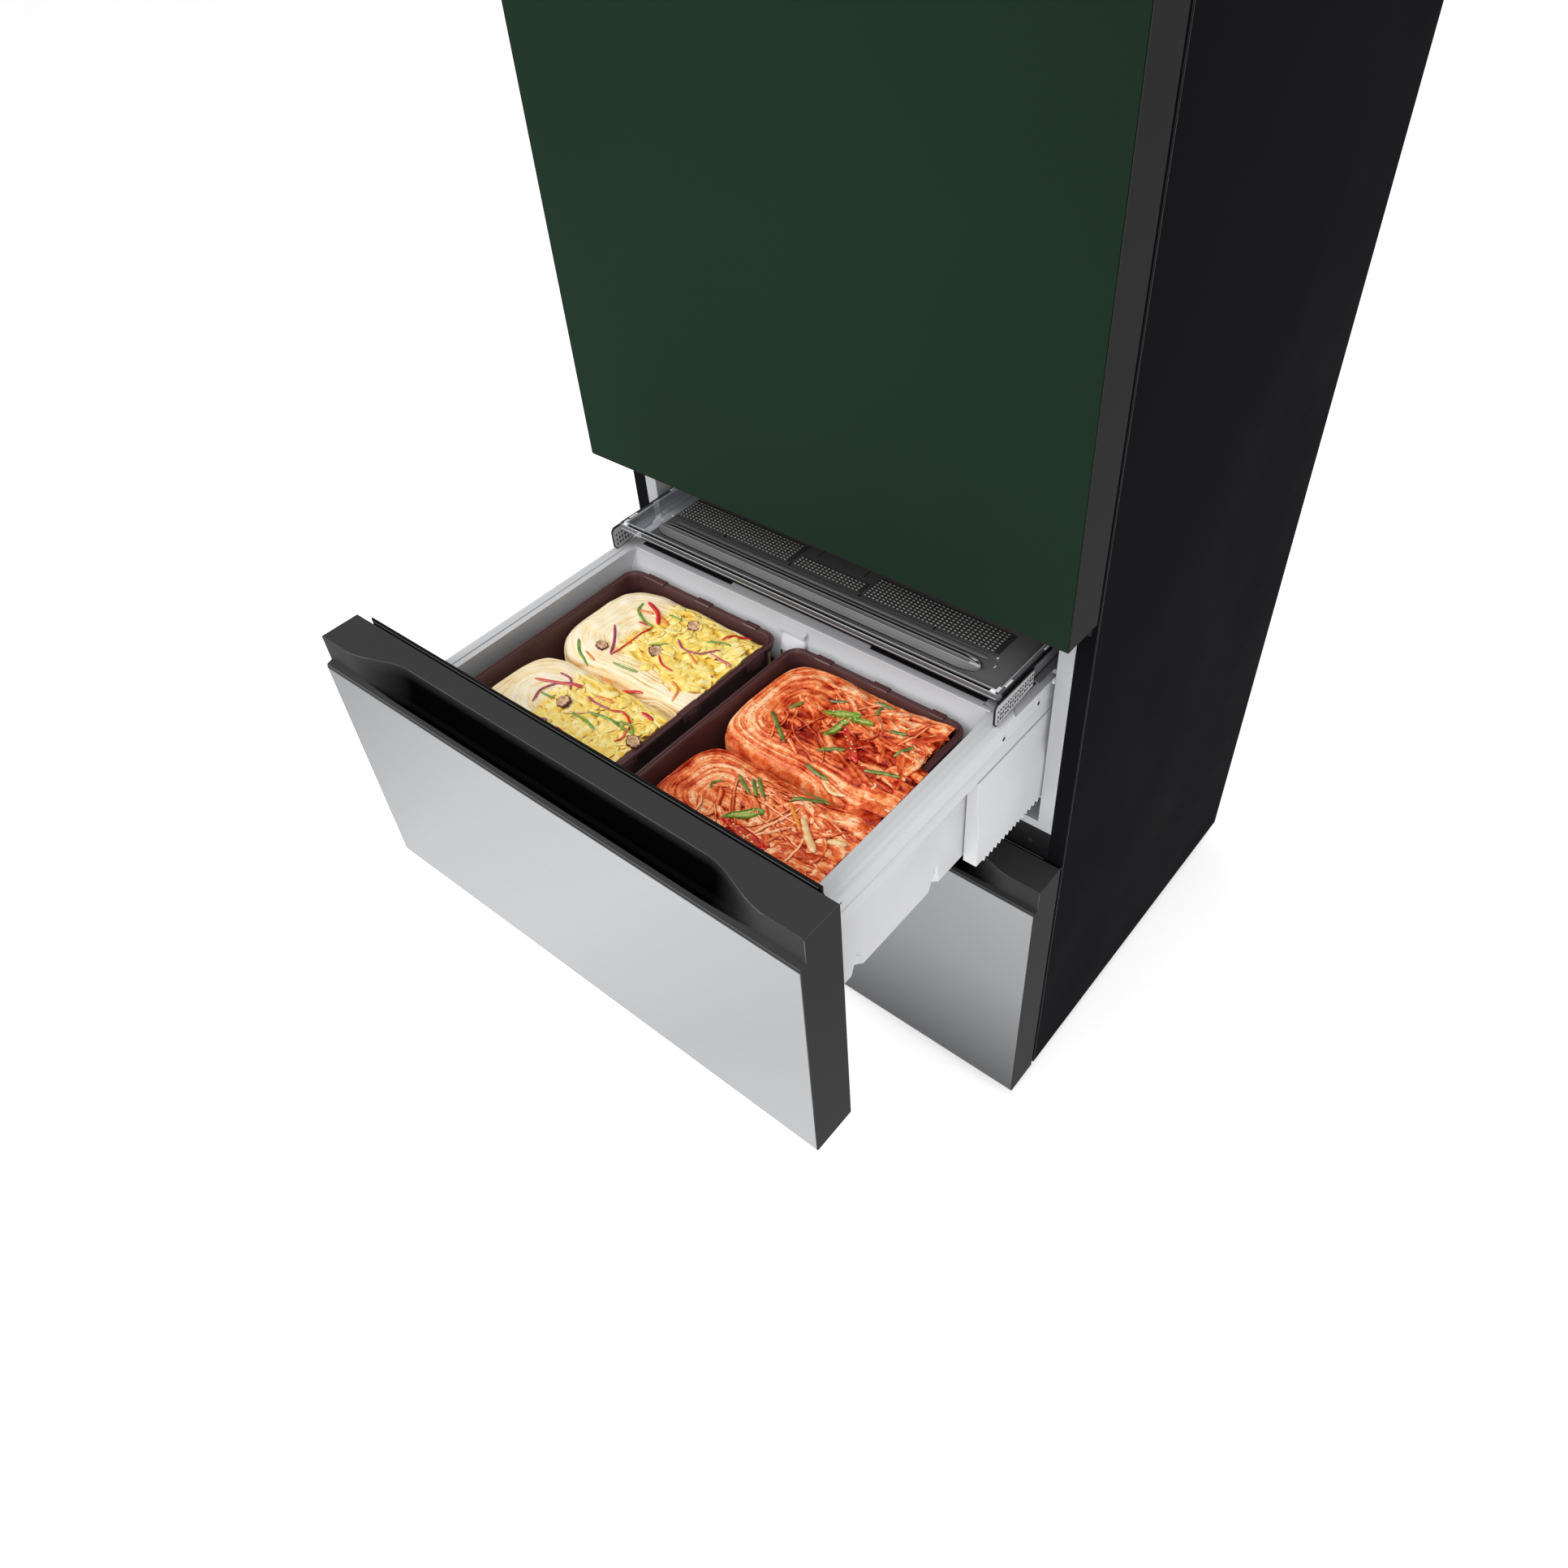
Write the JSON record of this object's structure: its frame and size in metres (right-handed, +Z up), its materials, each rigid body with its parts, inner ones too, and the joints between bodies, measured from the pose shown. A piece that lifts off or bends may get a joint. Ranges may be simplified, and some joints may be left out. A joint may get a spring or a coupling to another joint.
{
  "type": "kimchi refrigerator",
  "caption": "Tall kimchi refrigerator: hinged upper door over stacked pull-out drawers, the middle one standing open with kimchi in storage containers under a sliding smoked cover.",
  "frame": {"origin": "on the floor under the centre of the bounding box, drawer open", "axes": "+Z up, -Y is the front that the door and drawers face, +X is the viewer's right from the front, where the door hinges are"},
  "size_m": [0.666, 1.064, 1.805],
  "materials": {
    "side_steel": "satin",
    "black_plastic": "satin",
    "black_steel": "satin",
    "zinc_steel": "satin",
    "condenser_metal": "satin",
    "foam": "matte",
    "liner_white": "satin",
    "white_plastic": "satin",
    "shelf_glass": "gloss",
    "clear_plastic": "gloss",
    "smoke_plastic": "gloss",
    "charcoal_plastic": "satin",
    "green_panel": "gloss",
    "silver_panel": "satin",
    "gasket_rubber": "matte",
    "maroon_plastic": "gloss",
    "white_kimchi": "gloss",
    "red_kimchi": "gloss"
  },
  "bodies": {
    "cabinet": {"insulation_body": "foam", "side_panel_left": "side_steel", "side_panel_right": "side_steel", "top_panel": "side_steel", "back_panel": "side_steel", "base_plate": "black_steel", "upper_liner": "liner_white", "middle_liner": "liner_white", "lower_liner": "liner_white", "mid_fixed_rail_left": "zinc_steel", "mid_fixed_rail_right": "zinc_steel", "upper_mullion_cover": "black_plastic", "lower_mullion_cover": "black_plastic", "duct_cover": "white_plastic", "shelf_lower": "shelf_glass", "shelf_upper": "shelf_glass", "top_hinge_bracket": "zinc_steel", "top_hinge_cover": "black_plastic", "lower_hinge_bracket": "zinc_steel", "compressor": "black_steel", "condenser": "condenser_metal", "machine_cover": "zinc_steel", "power_inlet": "black_plastic"},
    "upper_door": {"upper_door_frame": "charcoal_plastic", "upper_door_panel": "green_panel", "upper_door_liner": "liner_white", "upper_door_gasket": "gasket_rubber", "door_basket_lower": "clear_plastic", "door_basket_upper": "clear_plastic"},
    "mid_drawer": {"mid_handle_block": "charcoal_plastic", "mid_front_panel": "silver_panel", "mid_gasket": "gasket_rubber", "mid_tub": "white_plastic", "mid_drawer_rail_left": "white_plastic", "mid_drawer_rail_right": "white_plastic", "mid_container_left": "maroon_plastic", "mid_container_right": "maroon_plastic", "white_kimchi_back": "white_kimchi", "white_kimchi_front": "white_kimchi", "red_kimchi_back": "red_kimchi", "red_kimchi_front": "red_kimchi"},
    "mid_carriages": {"mid_carriage_left": "white_plastic", "mid_carriage_right": "white_plastic"},
    "mid_pinion": {"mid_pinion_shaft": "white_plastic"},
    "mid_drawer_cover": {"mid_cover": "smoke_plastic"},
    "low_drawer": {"low_handle_block": "charcoal_plastic", "low_front_panel": "silver_panel", "low_gasket": "gasket_rubber", "low_tub": "white_plastic", "low_container_left": "maroon_plastic", "low_container_right": "maroon_plastic"},
    "low_carriages": {"low_carriage_left": "white_plastic", "low_carriage_right": "white_plastic"},
    "low_pinion": {"low_pinion_shaft": "white_plastic"},
    "fan_rotor": {"condenser_fan": "white_plastic"},
    "foot_left": {"front_foot_left": "black_plastic"},
    "foot_right": {"front_foot_right": "black_plastic"},
    "roller_left": {"rear_roller_left": "white_plastic"},
    "roller_right": {"rear_roller_right": "white_plastic"}
  },
  "joints": [
    {"name": "upper_door_hinge", "type": "hinge", "parent": "cabinet", "child": "upper_door", "pos_m": [0.318, -0.096, 1.311], "axis": [0, 0, 1], "range_deg": [0, 115]},
    {"name": "mid_drawer_slide", "type": "slide", "parent": "cabinet", "child": "mid_drawer", "axis": [0, -1, 0], "range_m": [-0.412, 0]},
    {"name": "mid_carriage_slide", "type": "slide", "parent": "cabinet", "child": "mid_carriages", "axis": [0, -1, 0], "range_m": [-0.206, 0]},
    {"name": "mid_cover_slide", "type": "slide", "parent": "cabinet", "child": "mid_drawer_cover", "axis": [0, -1, 0], "range_m": [-0.103, 0]},
    {"name": "mid_pinion_turn", "type": "hinge", "parent": "cabinet", "child": "mid_pinion", "pos_m": [0, 0.056, 0.54902], "axis": [1, 0, 0], "range_deg": [-775, 0]},
    {"name": "low_drawer_slide", "type": "slide", "parent": "cabinet", "child": "low_drawer", "axis": [0, -1, 0], "range_m": [0, 0.4]},
    {"name": "low_carriage_slide", "type": "slide", "parent": "cabinet", "child": "low_carriages", "axis": [0, -1, 0], "range_m": [0, 0.2]},
    {"name": "low_pinion_turn", "type": "hinge", "parent": "cabinet", "child": "low_pinion", "pos_m": [0, 0.056, 0.09602], "axis": [1, 0, 0], "range_deg": [0, 752]},
    {"name": "condenser_fan_turn", "type": "hinge", "parent": "cabinet", "child": "fan_rotor", "pos_m": [0.03, 0.436, 0.13], "axis": [1, 0, 0], "continuous": true},
    {"name": "foot_left_turn", "type": "hinge", "parent": "cabinet", "child": "foot_left", "pos_m": [-0.285, 0.01, 0.014], "axis": [0, 0, 1], "continuous": true},
    {"name": "foot_right_turn", "type": "hinge", "parent": "cabinet", "child": "foot_right", "pos_m": [0.285, 0.01, 0.014], "axis": [0, 0, 1], "continuous": true},
    {"name": "roller_left_turn", "type": "hinge", "parent": "cabinet", "child": "roller_left", "pos_m": [-0.285, 0.476, 0.0135], "axis": [1, 0, 0], "continuous": true},
    {"name": "roller_right_turn", "type": "hinge", "parent": "cabinet", "child": "roller_right", "pos_m": [0.285, 0.476, 0.0135], "axis": [1, 0, 0], "continuous": true}
  ],
  "couplings": [
    {"joint": "mid_carriage_slide", "follows": "mid_drawer_slide", "ratio": 0.5},
    {"joint": "mid_cover_slide", "follows": "mid_drawer_slide", "ratio": 0.25},
    {"joint": "mid_pinion_turn", "follows": "mid_drawer_slide", "rad_per_m": 32.725},
    {"joint": "low_carriage_slide", "follows": "low_drawer_slide", "ratio": 0.5},
    {"joint": "low_pinion_turn", "follows": "low_drawer_slide", "rad_per_m": 32.725}
  ]
}
